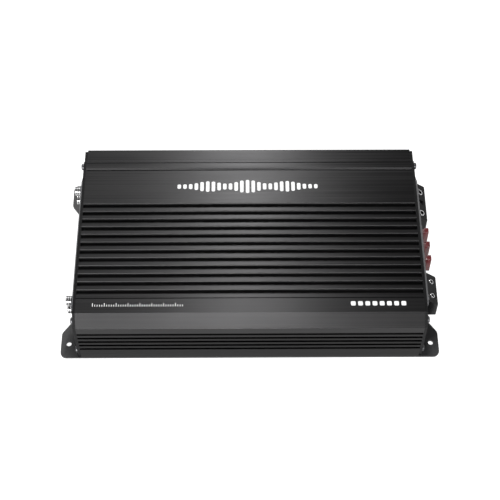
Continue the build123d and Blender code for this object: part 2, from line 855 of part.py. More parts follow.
with BuildPart() as main_board:
    with BuildSketch(Plane.XY.offset(board_bottom)):
        with Locations((0, (board_front + board_rear) / 2)):
            Rectangle(2 * board_half_length, board_rear - board_front)
        with Locations(*board_screw_places):
            Circle(board_screw_radius + 0.2, mode=Mode.SUBTRACT)
    extrude(amount=board_thickness)
finish(main_board.part, "main_board")

with BuildPart() as board_standoffs:
    with BuildSketch(Plane.XY.offset(sheet)):
        with Locations(*board_screw_places):
            RegularPolygon(2.75, 6, major_radius=False)
    extrude(amount=board_bottom - sheet)
    with BuildSketch(Plane.XY.offset(0.1)):
        with Locations(*board_screw_places):
            Circle(2.0)
    extrude(amount=sheet - 0.1)
    with BuildSketch(Plane.XY.offset(board_bottom)):
        with Locations(*board_screw_places):
            Circle(board_screw_radius + clear)
    extrude(amount=-(board_bottom - sheet), mode=Mode.SUBTRACT)
finish(board_standoffs.part, "board_standoffs")

with BuildPart() as board_screws:
    with BuildSketch(Plane.XY.offset(board_top)):
        with Locations(*board_screw_places):
            Circle(2.3)
    extrude(amount=1.5)
    with BuildSketch(Plane.XY.offset(board_top)):
        with Locations(*board_screw_places):
            Circle(board_screw_radius)
    extrude(amount=-5.5)
    with BuildSketch(Plane.XY.offset(board_top + 1.5)):
        with Locations(*board_screw_places):
            Rectangle(2.6, 0.6)
            Rectangle(0.6, 2.6)
    extrude(amount=-0.8, mode=Mode.SUBTRACT)
finish(board_screws.part, "board_screws")

toroids = {
    "transformer": {"at": (40.0, front + 92.0), "outer": 21.0, "inner": 11.0, "height": 15.0, "wire": 2.2},
    "output_choke": {"at": (-52.0, front + 92.0), "outer": 15.0, "inner": 8.0, "height": 11.0, "wire": 1.6},
}
toroid_gap = 0.1


def make_toroid(name, spec):
    x, y = spec["at"]
    low = board_top + spec["wire"] + 0.4
    with BuildPart() as core:
        with BuildSketch(Plane.XY.offset(low)):
            with Locations((x, y)):
                Circle(spec["outer"])
                Circle(spec["inner"], mode=Mode.SUBTRACT)
        extrude(amount=spec["height"])
    finish(core.part, f"{name}_core")
    middle = (spec["outer"] + spec["inner"]) / 2
    width = spec["outer"] - spec["inner"] + 2 * toroid_gap
    height = spec["height"] + 2 * toroid_gap
    with BuildPart() as winding:
        for start in (15, 195):
            turn = start * pi / 180
            outward = (cos(turn), sin(turn), 0)
            radial = Plane(origin=(x, y, 0), x_dir=outward, z_dir=(sin(turn), -cos(turn), 0))
            with BuildSketch(radial):
                with Locations((middle, low + spec["height"] / 2)):
                    Rectangle(width + 2 * spec["wire"], height + 2 * spec["wire"])
                    Rectangle(width, height, mode=Mode.SUBTRACT)
            revolve(axis=Axis((x, y, 0), (0, 0, 1)), revolution_arc=150)
    finish(winding.part, f"{name}_winding")


for name, spec in toroids.items():
    make_toroid(name, spec)


def make_capacitors(name, places, radius, height):
    with BuildPart() as cans:
        with BuildSketch(Plane.XY.offset(board_top + 0.2)):
            with Locations(*places):
                Circle(radius)
        extrude(amount=height)
        tops = cans.faces().group_by(Axis.Z)[-1]
        bottoms = cans.faces().group_by(Axis.Z)[0]
        fillet(tops.edges() + bottoms.edges(), radius * 0.12)
        with BuildSketch(Plane.XY.offset(board_top + 0.2 + height)):
            with Locations(*places):
                Rectangle(radius * 1.2, 0.5)
                Rectangle(0.5, radius * 1.2)
        extrude(amount=-0.3, mode=Mode.SUBTRACT)
    finish(cans.part, name)


rail_capacitor_places = [(-18.0 + 21.0 * i, front + y) for i in range(2) for y in (50.0, 136.0)]
input_capacitor_places = [(88.0 + 17.0 * i, front + y) for i in range(2) for y in (84.0, 101.0)]
make_capacitors("rail_capacitors", rail_capacitor_places, 9.0, 32.0)
make_capacitors("input_capacitors", input_capacitor_places, 7.5, 26.0)

with BuildPart() as driver_card:
    with BuildSketch(Plane.XY.offset(board_top + 2.0)):
        with Locations((-96.0, front + 92.0)):
            Rectangle(1.6, 60.0)
    extrude(amount=26.0)
    with BuildSketch(Plane.XY.offset(board_top)):
        with Locations((-96.0, front + 92.0)):
            with GridLocations(0, 5.0, 1, 11):
                Rectangle(0.6, 0.6)
    extrude(amount=2.0)
    with BuildSketch(Plane.YZ.offset(-95.2)):
        with Locations((front + 84.0, board_top + 15.0), (front + 104.0, board_top + 15.0)):
            Rectangle(7.6, 10.0)
    extrude(amount=2.0)
finish(driver_card.part, "driver_card")


# --- transistors clamped to both walls of the extrusion ---


def make_transistors(side, name):
    tab_low, tab_high = 14.0, 29.5
    with BuildPart() as transistors:
        tab = wall_plane(side, wall + strip)
        with BuildSketch(tab):
            with Locations(*[wall_point(side, x, (tab_low + tab_high) / 2) for x in row_places(side)]):
                Rectangle(10.0, tab_high - tab_low)
            with Locations(*[wall_point(side, x, tab_high - 2.8) for x in row_places(side)]):
                Circle(1.8, mode=Mode.SUBTRACT)
        extrude(amount=1.3)
        with BuildSketch(tab.offset(1.3)):
            with Locations(*[wall_point(side, x, tab_low + 4.6) for x in row_places(side)]):
                Rectangle(10.0, 9.2)
        extrude(amount=3.2)
        leg = [
            (2.2, tab_low + 0.1),
            (2.2, 11.4),
            (12.8, 11.4),
            (12.8, board_top),
            (13.6, board_top),
            (13.6, 12.2),
            (3.0, 12.2),
            (3.0, tab_low + 0.1),
        ]
        for x in row_places(side):
            for step in (-2.54, 0, 2.54):
                middle = x + step
                with BuildSketch(Plane.YZ.offset(middle - 0.45)):
                    with BuildLine():
                        points = [(side * (rear - wall - strip - d), z) for d, z in leg]
                        Polyline(*points, close=True)
                    make_face()
                extrude(amount=0.9)
    finish(transistors.part, name)


make_transistors(-1, "supply_transistors")
make_transistors(1, "output_transistors")

row_length = transistors_in_row * transistor_pitch
clamp_inset = wall + strip + 1.3 + 3.2

with BuildPart() as insulating_strips:
    for side in (-1, 1):
        with BuildSketch(wall_plane(side, wall)):
            with Locations(wall_point(side, row_centres[side], 22.0)):
                Rectangle(row_length, 18.0)
            with Locations(*[wall_point(side, x, clamp_screw_height) for x in clamp_places(side)]):
                Circle(clamp_screw_radius + 0.3, mode=Mode.SUBTRACT)
        extrude(amount=strip)
finish(insulating_strips.part, "insulating_strips")

with BuildPart() as transistor_clamps:
    for side in (-1, 1):
        with BuildSketch(wall_plane(side, clamp_inset)):
            with Locations(wall_point(side, row_centres[side], clamp_screw_height)):
                Rectangle(row_length, 6.0)
            with Locations(*[wall_point(side, x, clamp_screw_height) for x in clamp_places(side)]):
                Circle(clamp_screw_radius + 0.3, mode=Mode.SUBTRACT)
        extrude(amount=2.5)
finish(transistor_clamps.part, "transistor_clamps")

with BuildPart() as clamp_bar_screws:
    for side in (-1, 1):
        seat = wall_plane(side, clamp_inset + 2.5)
        places = [wall_point(side, x, clamp_screw_height) for x in clamp_places(side)]
        with BuildSketch(seat):
            with Locations(*places):
                Circle(2.6)
        extrude(amount=1.9)
        with BuildSketch(seat):
            with Locations(*places):
                Circle(clamp_screw_radius)
        extrude(amount=-(clamp_inset + 2.5 - wall + 3.5))
        with BuildSketch(seat.offset(1.9)):
            with Locations(*places):
                Rectangle(3.0, 0.7)
                Rectangle(0.7, 3.0)
        extrude(amount=-1.0, mode=Mode.SUBTRACT)
finish(clamp_bar_screws.part, "clamp_bar_screws")
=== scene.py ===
import json
import math
import bmesh
import bpy
from mathutils import Matrix, Vector


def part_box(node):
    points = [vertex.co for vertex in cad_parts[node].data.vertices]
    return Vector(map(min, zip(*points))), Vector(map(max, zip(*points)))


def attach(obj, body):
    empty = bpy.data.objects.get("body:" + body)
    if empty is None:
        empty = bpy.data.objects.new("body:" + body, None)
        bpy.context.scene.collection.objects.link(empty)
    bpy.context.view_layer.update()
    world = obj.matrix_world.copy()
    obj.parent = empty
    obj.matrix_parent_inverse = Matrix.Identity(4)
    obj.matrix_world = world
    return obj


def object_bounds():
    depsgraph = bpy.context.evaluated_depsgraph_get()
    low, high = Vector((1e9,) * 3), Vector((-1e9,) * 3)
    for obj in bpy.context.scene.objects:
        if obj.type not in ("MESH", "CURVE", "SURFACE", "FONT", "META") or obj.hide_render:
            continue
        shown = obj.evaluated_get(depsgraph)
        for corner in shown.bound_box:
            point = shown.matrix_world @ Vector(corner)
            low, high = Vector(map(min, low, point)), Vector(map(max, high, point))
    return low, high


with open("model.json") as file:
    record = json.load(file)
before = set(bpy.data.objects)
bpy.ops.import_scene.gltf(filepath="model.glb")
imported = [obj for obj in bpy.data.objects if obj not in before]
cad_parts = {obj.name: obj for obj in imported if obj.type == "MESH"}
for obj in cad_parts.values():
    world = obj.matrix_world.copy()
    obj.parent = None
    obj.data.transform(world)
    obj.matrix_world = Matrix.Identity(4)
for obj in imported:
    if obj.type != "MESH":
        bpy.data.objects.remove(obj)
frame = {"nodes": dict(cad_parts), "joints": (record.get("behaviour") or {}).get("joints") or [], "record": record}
cadLow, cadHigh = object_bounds()  # the design's own box
nodes = frame["nodes"]
mm = 0.001
scene = bpy.context.scene
print("frame loaded:", len(nodes), "parts")

cameraSetup = {
    "lens": 91.96,   # mm, on a 36 mm sensor
    "pitch": 56.64,  # degrees down from the horizon
    "turn": 0.644,   # degrees towards the power end
    "roll": 0.335,
    "offset": (-0.0066, -0.6299, 0.9874),  # from the middle of the footprint
}


def makeCamera(setup):
    pitch, turn, roll = (math.radians(setup[key]) for key in ("pitch", "turn", "roll"))
    right = Vector((math.cos(turn), -math.sin(turn), 0))
    ahead = Vector((math.sin(turn) * math.cos(pitch), math.cos(turn) * math.cos(pitch), -math.sin(pitch)))
    up = right.cross(ahead)
    tiltedRight = right * math.cos(roll) + up * math.sin(roll)
    tiltedUp = up * math.cos(roll) - right * math.sin(roll)
    data = bpy.data.cameras.new("mainCamera")
    data.sensor_width = 36
    data.lens = setup["lens"]
    data.clip_start = 0.01
    camera = bpy.data.objects.new("mainCamera", data)
    scene.collection.objects.link(camera)
    middle = Vector(((cadLow.x + cadHigh.x) / 2, (cadLow.y + cadHigh.y) / 2, cadLow.z))
    turned = Matrix((tiltedRight, tiltedUp, -ahead)).transposed().to_4x4()
    camera.matrix_world = Matrix.Translation(middle + Vector(setup["offset"])) @ turned
    scene.camera = camera


makeCamera(cameraSetup)
print("camera placed")

lightSetup = [
    # name, place (m), aimed at (m), width along X, height, watts
    ("rearStrip", (-0.005, 1.14, 1.32), (0.0, 0.0, 0.03), 0.14, 0.86, 16.5),
    ("rearLeftFill", (-0.48, 1.14, 1.32), (-0.10, 0.0, 0.03), 0.66, 0.86, 4.3),
    ("frontLong", (-0.38, -1.45, 0.76), (-0.10, -0.08, 0.05), 1.00, 0.50, 26.0),
    ("frontMiddle", (0.0, -1.45, 0.76), (0.0, -0.08, 0.05), 0.22, 0.50, 6.0),
    ("frontRight", (0.48, -1.36, 1.12), (0.10, -0.05, 0.05), 0.80, 0.26, 10.0),
    ("overhead", (-0.25, -0.10, 1.90), (0.0, 0.0, 0.0), 1.60, 1.60, 4.0),
    ("rightCard", (1.15, 0.70, 0.26), (0.15, 0.0, 0.03), 0.70, 0.45, 0.7),
]
floorSetup = {"size": 6.0, "gap": 0.0002, "colour": (0.35, 0.35, 0.35, 1), "rough": 0.9, "glow": 0.95}
worldSetup = {"seen": 1.0, "lighting": 0.10}  # how bright it looks, and how much light it gives


def makeLight(name, place, aim, width, height, power):
    data = bpy.data.lights.new(name, "AREA")
    data.shape = "RECTANGLE"
    data.size = width
    data.size_y = height
    data.energy = power
    light = bpy.data.objects.new(name, data)
    scene.collection.objects.link(light)
    light.location = place
    light.rotation_mode = "QUATERNION"
    light.rotation_quaternion = (Vector(aim) - Vector(place)).to_track_quat("-Z", "Y")


def makeFloor(setup):
    half = setup["size"] / 2
    level = cadLow.z - setup["gap"]
    mesh = bpy.data.meshes.new("floor")
    corners = [(-half, -half, level), (half, -half, level), (half, half, level), (-half, half, level)]
    mesh.from_pydata(corners, [], [(0, 1, 2, 3)])
    floor = bpy.data.objects.new("floor", mesh)
    scene.collection.objects.link(floor)
    material = bpy.data.materials.new("paleFloor")
    material.use_nodes = True
    shader = material.node_tree.nodes["Principled BSDF"]
    shader.inputs["Base Color"].default_value = setup["colour"]
    shader.inputs["Roughness"].default_value = setup["rough"]
    shader.inputs["Emission Color"].default_value = (1, 1, 1, 1)
    shader.inputs["Emission Strength"].default_value = setup["glow"]
    mesh.materials.append(material)


def makeWorld(setup):
    # White behind everything, but only a little light from it, so that black finishes stay black
    world = bpy.data.worlds.new("studio")
    world.use_nodes = True
    tree = world.node_tree
    background = tree.nodes["Background"]
    background.inputs["Color"].default_value = (1, 1, 1, 1)
    path = tree.nodes.new("ShaderNodeLightPath")
    level = tree.nodes.new("ShaderNodeMapRange")
    level.inputs["To Min"].default_value = setup["lighting"]
    level.inputs["To Max"].default_value = setup["seen"]
    tree.links.new(path.outputs["Is Camera Ray"], level.inputs["Value"])
    tree.links.new(level.outputs["Result"], background.inputs["Strength"])
    scene.world = world


for entry in lightSetup:
    makeLight(*entry)
makeFloor(floorSetup)
makeWorld(worldSetup)
scene.view_settings.view_transform = "Standard"
print("lights, floor and world placed")


class Finish:
    # One material, built up from the place on the object in metres
    def __init__(self, name):
        self.material = bpy.data.materials.new(name)
        self.material.use_nodes = True
        self.tree = self.material.node_tree
        self.shader = self.tree.nodes["Principled BSDF"]
        self.place = self.add("ShaderNodeTexCoord").outputs["Object"]

    def add(self, kind, **settings):
        node = self.tree.nodes.new(kind)
        for key, value in settings.items():
            setattr(node, key, value)
        return node

    def plug(self, socket, value):
        if isinstance(value, bpy.types.NodeSocket):
            self.tree.links.new(value, socket)
        elif socket.type == "RGBA":
            socket.default_value = (*value, 1)
        else:
            socket.default_value = value

    def fix(self, **values):
        # Values that are the same all over the surface
        for key, value in values.items():
            self.plug(self.shader.inputs[key.replace("_", " ")], value)

    def grain(self, size, detail=3.0, shift=0.0):
        # size: grains per metre along X, Y and Z
        mapping = self.add("ShaderNodeMapping")
        mapping.inputs["Scale"].default_value = size
        mapping.inputs["Location"].default_value = (shift, shift * 0.7, shift * 1.3)
        self.plug(mapping.inputs["Vector"], self.place)
        noise = self.add("ShaderNodeTexNoise")
        noise.inputs["Scale"].default_value = 1.0
        noise.inputs["Detail"].default_value = detail
        self.plug(noise.inputs["Vector"], mapping.outputs["Vector"])
        return noise.outputs["Fac"]

    def spread(self, value, low, high, start=0.3, end=0.7):
        node = self.add("ShaderNodeMapRange")
        limits = {"Value": value, "From Min": start, "From Max": end, "To Min": low, "To Max": high}
        for key, limit in limits.items():
            self.plug(node.inputs[key], limit)
        return node.outputs["Result"]

    def maths(self, operation, first, second=0.0):
        node = self.add("ShaderNodeMath", operation=operation)
        self.plug(node.inputs[0], first)
        self.plug(node.inputs[1], second)
        return node.outputs["Value"]

    def average(self, first, second, share=0.5):
        part = self.maths("MULTIPLY", first, share)
        return self.maths("ADD", part, self.maths("MULTIPLY", second, 1 - share))

    def between(self, factor, first, second):
        node = self.add("ShaderNodeMix", data_type="RGBA")
        self.plug(node.inputs[0], factor)
        self.plug(node.inputs[6], first)
        self.plug(node.inputs[7], second)
        return node.outputs[2]

    def along(self, axis):
        split = self.add("ShaderNodeSeparateXYZ")
        self.plug(split.inputs[0], self.place)
        return split.outputs[axis]

    def bump(self, height, distance, strength=0.6):
        node = self.add("ShaderNodeBump")
        node.inputs["Distance"].default_value = distance
        node.inputs["Strength"].default_value = strength
        self.plug(node.inputs["Height"], height)
        self.plug(self.shader.inputs["Normal"], node.outputs["Normal"])

    def surface(self, colour, rough):
        self.plug(self.shader.inputs["Base Color"], colour)
        self.plug(self.shader.inputs["Roughness"], rough)


anodised = {
    "dark": (0.0062, 0.0061, 0.0065),
    "light": (0.0150, 0.0146, 0.0150),
    "wall": (0.0036, 0.0036, 0.0038),    # painted shade: darker colour low on the walls
    "metal": (0.92, 0.55),               # metalness low on the walls, and from the chamfer up; the high value low down also darkens the walls as painted shade
    "wallTop": (34.0, 46.0),             # heights (mm) between which the one turns into the other, where the painted shade on the walls fades out
    "gloss": 0.26,
    "rough": (0.27, 0.40),
    "brushing": 0.75,                    # how far highlights are drawn out across the brush lines
    "hairLines": (7.0, 2400.0, 2400.0),  # grains per metre, long along the fins
    "streaks": (3.0, 760.0, 760.0),
    "clouds": (14.0, 22.0, 22.0),
    "cloudShare": 0.25,
    "hairDepth": 0.00001,
}


def brushedAnodised(spec):
    f = Finish("blackAnodised")
    hair = f.grain(spec["hairLines"], detail=4)
    streak = f.grain(spec["streaks"], detail=2, shift=3.1)
    cloud = f.grain(spec["clouds"], detail=2, shift=7.7)
    tone = f.average(f.average(hair, streak), cloud, 1 - spec["cloudShare"])
    # painted shade: colour and metalness are darker low on the walls, fading out between the wallTop heights
    up = f.spread(f.along("Z"), 0.0, 1.0, *(edge * mm for edge in spec["wallTop"]))
    dye = f.between(f.spread(tone, 0.0, 1.0, 0.38, 0.62), spec["dark"], spec["light"])
    f.surface(f.between(up, spec["wall"], dye), f.spread(f.average(streak, hair), *spec["rough"]))
    f.bump(hair, spec["hairDepth"])
    f.plug(f.shader.inputs["Metallic"], f.spread(up, *spec["metal"], 0.0, 1.0))
    f.fix(Anisotropic=spec["brushing"], Specular_IOR_Level=spec["gloss"])
    tangent = f.add("ShaderNodeTangent", direction_type="RADIAL", axis="X")
    f.plug(f.shader.inputs["Tangent"], tangent.outputs["Tangent"])
    return f.material


bottomCoat = {
    "dark": (0.014, 0.014, 0.0145),
    "light": (0.024, 0.024, 0.025),
    "rough": (0.42, 0.58),
    "gloss": 0.4,
}
# painted shade: a darker copy of the same black paint as bottomCoat, for the end plates
shadedEndCoat = {
    "dark": (0.0022, 0.0022, 0.0025),
    "light": (0.0048, 0.0048, 0.0052),
    "rough": (0.46, 0.60),
    "gloss": 0.1,
}
coatPeel = {"size": 900.0, "fleck": 2600.0, "broad": 35.0, "depth": 0.00003, "strength": 0.5}


def powderCoat(name, spec):
    f = Finish(name)
    peel = f.grain((coatPeel["size"],) * 3)
    fleck = f.grain((coatPeel["fleck"],) * 3, detail=1, shift=2.2)
    broad = f.grain((coatPeel["broad"],) * 3, detail=2, shift=5.0)
    tone = f.spread(f.average(fleck, broad), 0.0, 1.0, 0.4, 0.6)
    f.surface(f.between(tone, spec["dark"], spec["light"]), f.spread(peel, *spec["rough"]))
    f.bump(peel, coatPeel["depth"], coatPeel["strength"])
    f.fix(Specular_IOR_Level=spec["gloss"])
    return f.material


flowLines = (60.0, 60.0, 90.0)  # grains per metre in moulded plastic
tarnishSize = 160.0


def moulded(name, dark, light, rough=(0.40, 0.55), size=1400.0, depth=0.00002, gloss=0.4):
    f = Finish(name)
    texture = f.grain((size,) * 3)
    flow = f.grain(flowLines, shift=4.0)
    f.surface(f.between(f.spread(flow, 0.0, 1.0), dark, light), f.spread(texture, *rough))
    f.bump(texture, depth)
    f.fix(Specular_IOR_Level=gloss)
    return f.material


def metal(name, dark, light, rough=(0.20, 0.35), lines=(1800.0, 1800.0, 1800.0), depth=0.000004):
    f = Finish(name)
    fine = f.grain(lines)
    tarnish = f.grain((tarnishSize,) * 3, detail=4, shift=6.0)
    f.surface(
        f.between(f.spread(tarnish, 0.0, 1.0), dark, light),
        f.spread(f.average(fine, tarnish), *rough, 0.35, 0.65),
    )
    f.bump(fine, depth)
    f.fix(Metallic=1.0)
    return f.material


clampScrewPlating = {
    "dull": (0.66, 0.66, 0.67),
    "bright": (0.86, 0.86, 0.87),
    # painted shade colour deep in the socket
    "socket": (0.012, 0.012, 0.012),
    "socketDepth": (0.3, 0.6),  # mm below the slope, where the shade starts and where it is full
    "rough": (0.16, 0.30),
    "tarnish": 400.0,
}


def clampScrewFinish(joint, spec):
    # Bright end face, with painted shade down in the hexagon socket and on the thread
    f = Finish(joint["child"] + "Plating")
    sunk = f.add("ShaderNodeVectorMath", operation="SUBTRACT")
    f.plug(sunk.inputs[0], f.place)
    sunk.inputs[1].default_value = joint["pos_m"]
    depth = f.add("ShaderNodeVectorMath", operation="DOT_PRODUCT")
    f.plug(depth.inputs[0], sunk.outputs["Vector"])
    depth.inputs[1].default_value = joint["axis"]
    shade = f.spread(depth.outputs["Value"], 0.0, 1.0, *(step * mm for step in spec["socketDepth"]))
    tarnish = f.grain((spec["tarnish"],) * 3, detail=4)
    plating = f.between(f.spread(tarnish, 0.0, 1.0), spec["dull"], spec["bright"])
    # painted shade: the plating turns to the near-black socket colour with depth along the screw's axis
    f.surface(f.between(shade, plating, spec["socket"]), f.spread(tarnish, *spec["rough"]))
    f.bump(tarnish, 0.00001)
    f.fix(Metallic=1.0)
    return f.material


barrelBands = {
    "pitch": 1.65,  # mm from one turned groove to the next
    # painted shade colour in the grooves
    "groove": (0.06, 0.06, 0.06),
    "dull": (0.55, 0.55, 0.56),
    "bright": (0.62, 0.62, 0.62),
    "rough": (0.10, 0.22),
    "depth": 0.00008,
}


def barrelNickel(spec):
    # Polished nickel with the turned grooves of a jack's barrel, the grooves darkened as painted shade
    f = Finish("barrelNickel")
    wave = f.maths("SINE", f.maths("MULTIPLY", f.along("X"), 2 * math.pi / (spec["pitch"] * mm)))
    land = f.spread(wave, 0.0, 1.0, -0.35, 0.15)
    tarnish = f.grain((500.0,) * 3, detail=4)
    nickel = f.between(f.spread(tarnish, 0.0, 1.0), spec["dull"], spec["bright"])
    # painted shade: the grooves take the dark colour
    f.surface(f.between(land, spec["groove"], nickel), f.spread(tarnish, *spec["rough"]))
    f.bump(land, spec["depth"])
    f.fix(Metallic=1.0)
    return f.material


boardSetup = {
    "trackSize": (260.0, 260.0, 260.0),
    "tracks": ((0.015, 0.12, 0.045), (0.012, 0.10, 0.04)),
    "gaps": (0.006, 0.055, 0.022),
    "padSize": 240.0,
    "tin": (0.62, 0.62, 0.58),
    "rough": (0.28, 0.42),
}


def circuitBoard(spec):
    # Solder mask with tracks under it and tinned pads
    f = Finish("circuitBoard")
    mapping = f.add("ShaderNodeMapping")
    mapping.inputs["Scale"].default_value = spec["trackSize"]
    f.plug(mapping.inputs["Vector"], f.place)
    tracks = f.add("ShaderNodeTexBrick")
    tracks.inputs["Scale"].default_value = 1.0
    tracks.inputs["Mortar Size"].default_value = 0.12
    f.plug(tracks.inputs["Color1"], spec["tracks"][0])
    f.plug(tracks.inputs["Color2"], spec["tracks"][1])
    f.plug(tracks.inputs["Mortar"], spec["gaps"])
    f.plug(tracks.inputs["Vector"], mapping.outputs["Vector"])
    pads = f.add("ShaderNodeTexVoronoi", feature="F1")
    pads.inputs["Scale"].default_value = spec["padSize"]
    f.plug(pads.inputs["Vector"], f.place)
    pad = f.spread(pads.outputs["Distance"], 1.0, 0.0, 0.13, 0.16)
    weave = f.grain((900.0,) * 3, detail=2)
    f.surface(f.between(pad, tracks.outputs["Color"], spec["tin"]), f.spread(weave, *spec["rough"]))
    f.plug(f.shader.inputs["Metallic"], pad)
    f.bump(f.average(pad, weave), 0.00002)
    return f.material


windings = {"transformer_winding": 46, "output_choke_winding": 34}  # turns of wire on each ring
enamel = {
    # painted shade colour between the turns
    "gap": (0.09, 0.025, 0.01),
    "dull": (0.42, 0.13, 0.04),
    "bright": (0.62, 0.24, 0.09),
    "rough": (0.22, 0.38),
    "depth": 0.0004,
}


def woundWire(name, turns, spec):
    # Enamelled turns that run round a ring's section, with painted shade in the gaps between them
    low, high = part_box(name)
    middle = (low + high) / 2
    f = Finish(name + "Wire")
    across = f.maths("SUBTRACT", f.along("X"), middle.x)
    back = f.maths("SUBTRACT", f.along("Y"), middle.y)
    angle = f.maths("ARCTAN2", back, across)
    ridge = f.spread(f.maths("SINE", f.maths("MULTIPLY", angle, float(turns))), 0.0, 1.0, -1.0, 1.0)
    stain = f.grain((300.0,) * 3)
    wire = f.between(f.spread(stain, 0.0, 1.0), spec["dull"], spec["bright"])
    # painted shade: the gaps between turns take the dark colour
    f.surface(f.between(ridge, spec["gap"], wire), f.spread(stain, *spec["rough"]))
    f.bump(ridge, spec["depth"])
    f.fix(Metallic=0.8)
    return f.material


fuseTint = {
    "deep": (0.085, 0.0045, 0.006),
    "pale": (0.19, 0.014, 0.018),
    "boss": (0.23, 0.13, 0.13),  # the thick moulding near the holder, which looks greyer
    "bossDepth": 1.8,            # mm out from the holder's face
    "see": 0.18,
    "rough": (0.16, 0.28),
}


def tintedPlastic(spec):
    f = Finish("redFusePlastic")
    flow = f.grain((240.0, 240.0, 90.0))
    fine = f.grain((1800.0,) * 3, detail=2, shift=2.0)
    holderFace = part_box("fuse_holders")[1].x
    reach = spec["bossDepth"] * mm
    edge = f.maths("ADD", f.along("X"), f.maths("MULTIPLY", flow, reach * 0.4))
    boss = f.spread(edge, 1.0, 0.0, holderFace + 0.6 * reach, holderFace + 1.3 * reach)
    tint = f.between(f.spread(flow, 0.0, 1.0), spec["deep"], spec["pale"])
    f.surface(f.between(boss, tint, spec["boss"]), f.spread(fine, *spec["rough"]))
    f.bump(fine, 0.00001)
    f.fix(Transmission_Weight=spec["see"], IOR=1.5)
    return f.material


lensSetup = {"dull": (0.55, 0.62, 0.55), "clear": (0.82, 0.86, 0.80), "rough": (0.18, 0.30), "see": 0.4}


def lampLens(spec):
    f = Finish("lampLens")
    haze = f.grain((700.0,) * 3)
    tint = f.between(f.spread(haze, 0.0, 1.0), spec["dull"], spec["clear"])
    f.surface(tint, f.spread(haze, *spec["rough"]))
    f.bump(haze, 0.00001)
    f.fix(Transmission_Weight=spec["see"], IOR=1.45)
    return f.material


collarColours = {
    "white": ((0.62, 0.61, 0.58), (0.78, 0.77, 0.74)),
    "red": ((0.34, 0.012, 0.015), (0.46, 0.02, 0.024)),
    "rough": (0.25, 0.35),
}


def jackCollar(spec):
    # The insulator in each barrel: white in the upper jack of a pair, red in the lower one
    low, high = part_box("jack_insulators")
    f = Finish("jackCollar")
    flow = f.grain((500.0,) * 3)
    white = f.between(f.spread(flow, 0.0, 1.0), *spec["white"])
    red = f.between(f.spread(flow, 0.0, 1.0), *spec["red"])
    middle = (low.z + high.z) / 2
    upper = f.spread(f.along("Z"), 0.0, 1.0, middle - mm, middle + mm)
    f.surface(f.between(upper, red, white), f.spread(flow, *spec["rough"]))
    f.bump(flow, 0.00001)
    return f.material


# Each line: name, dark colour, light colour, and then what differs from the plain values
plastics = {
    "black_plastic": ("blackPlastic", (0.0020, 0.0020, 0.0023), (0.0050, 0.0050, 0.0055), (0.17, 0.27)),
    "grey_plastic": ("greyPlastic", (0.080, 0.080, 0.084), (0.102, 0.102, 0.106), (0.40, 0.52)),
    "ferrite": ("coatedFerrite", (0.025, 0.027, 0.030), (0.045, 0.048, 0.050), (0.40, 0.60), 700.0),
    "capacitor_sleeve": ("capacitorSleeve", (0.012, 0.013, 0.030), (0.020, 0.022, 0.045), (0.20, 0.30)),
    "transistor_case": ("transistorCase", (0.014, 0.014, 0.015), (0.030, 0.030, 0.032), (0.45, 0.60)),
    "silicone_pad": ("siliconePad", (0.30, 0.30, 0.31), (0.38, 0.38, 0.39), (0.60, 0.75)),
    "white_print": ("whiteInk", (0.70, 0.70, 0.70), (0.86, 0.86, 0.86), (0.45, 0.60), 2200.0, 0.000006),
}
plasticGloss = {"black_plastic": 0.14}
metals = {
    "black_screw": ("blackOxide", (0.045, 0.045, 0.048), (0.12, 0.12, 0.125), (0.28, 0.42)),
    "zinc_screw": ("zincPlate", (0.50, 0.50, 0.50), (0.66, 0.66, 0.64)),
    "chrome_parts": ("polishedNickel", (0.66, 0.66, 0.67), (0.82, 0.82, 0.83), (0.08, 0.17)),
    "brass_parts": ("tinnedBrass", (0.48, 0.36, 0.17), (0.64, 0.50, 0.26)),
    "fuse_blade": ("fuseBlade", (0.52, 0.52, 0.51), (0.68, 0.68, 0.66)),
}
barLines = (60.0, 2200.0, 2200.0)

finishes = {
    "black_anodised": brushedAnodised(anodised),
    # the end plates get the darker, painted-shade copy of the paint
    "black_painted_sheet": powderCoat("shadedEndCoat", shadedEndCoat),
    "red_fuse": tintedPlastic(fuseTint),
    "circuit_board": circuitBoard(boardSetup),
    "steel_bar": metal("plainSteel", (0.38, 0.38, 0.39), (0.54, 0.54, 0.55), lines=barLines),
    "white_insulator": jackCollar(collarColours),
    "lamp_lens": lampLens(lensSetup),
}
for slot, look in plastics.items():
    finishes[slot] = moulded(*look, gloss=plasticGloss.get(slot, 0.4))
for slot, look in metals.items():
    finishes[slot] = metal(*look)

# Parts that look different from the rest of their slot
ownFinishes = {
    "bottom_plate": powderCoat("bottomCoat", bottomCoat),
    "jack_shells": barrelNickel(barrelBands),
    "remote_screw": finishes["black_screw"],
}
for name, turns in windings.items():
    ownFinishes[name] = woundWire(name, turns, enamel)
for joint in frame["joints"]:
    if joint["name"].endswith("_screw_turn") and joint["child"] not in ownFinishes:
        ownFinishes[joint["child"]] = clampScrewFinish(joint, clampScrewPlating)

for entry in frame["record"]["subparts"]:
    target = nodes[entry["node"]]
    target.data.materials.clear()
    target.data.materials.append(ownFinishes.get(entry["node"]) or finishes[entry["material_slot"]])
print("finishes given:", len(finishes) + len(ownFinishes))

edgeRadius = {  # mm; parts that aren't named here get the plain radius
    "heatsink_shell": 0.24,
    "bottom_plate": 0.35,
    "left_end_plate": 0.3,
    "right_end_plate": 0.3,
    "input_cover_strip": 0.35,
    "terminal_cover_strip": 0.35,
    "power_terminal_housing": 0.35,
    "speaker_terminal_housing": 0.35,
    "fuse_holders": 0.3,
    "jack_shells": 0.22,
    "jack_blocks": 0.3,
    "power_terminal_inserts": 0.02,  # the clamp screws run along its inner edges
}
plainRadius = 0.12
sharpFrom = 32  # degrees; flatter edges than this are left alone


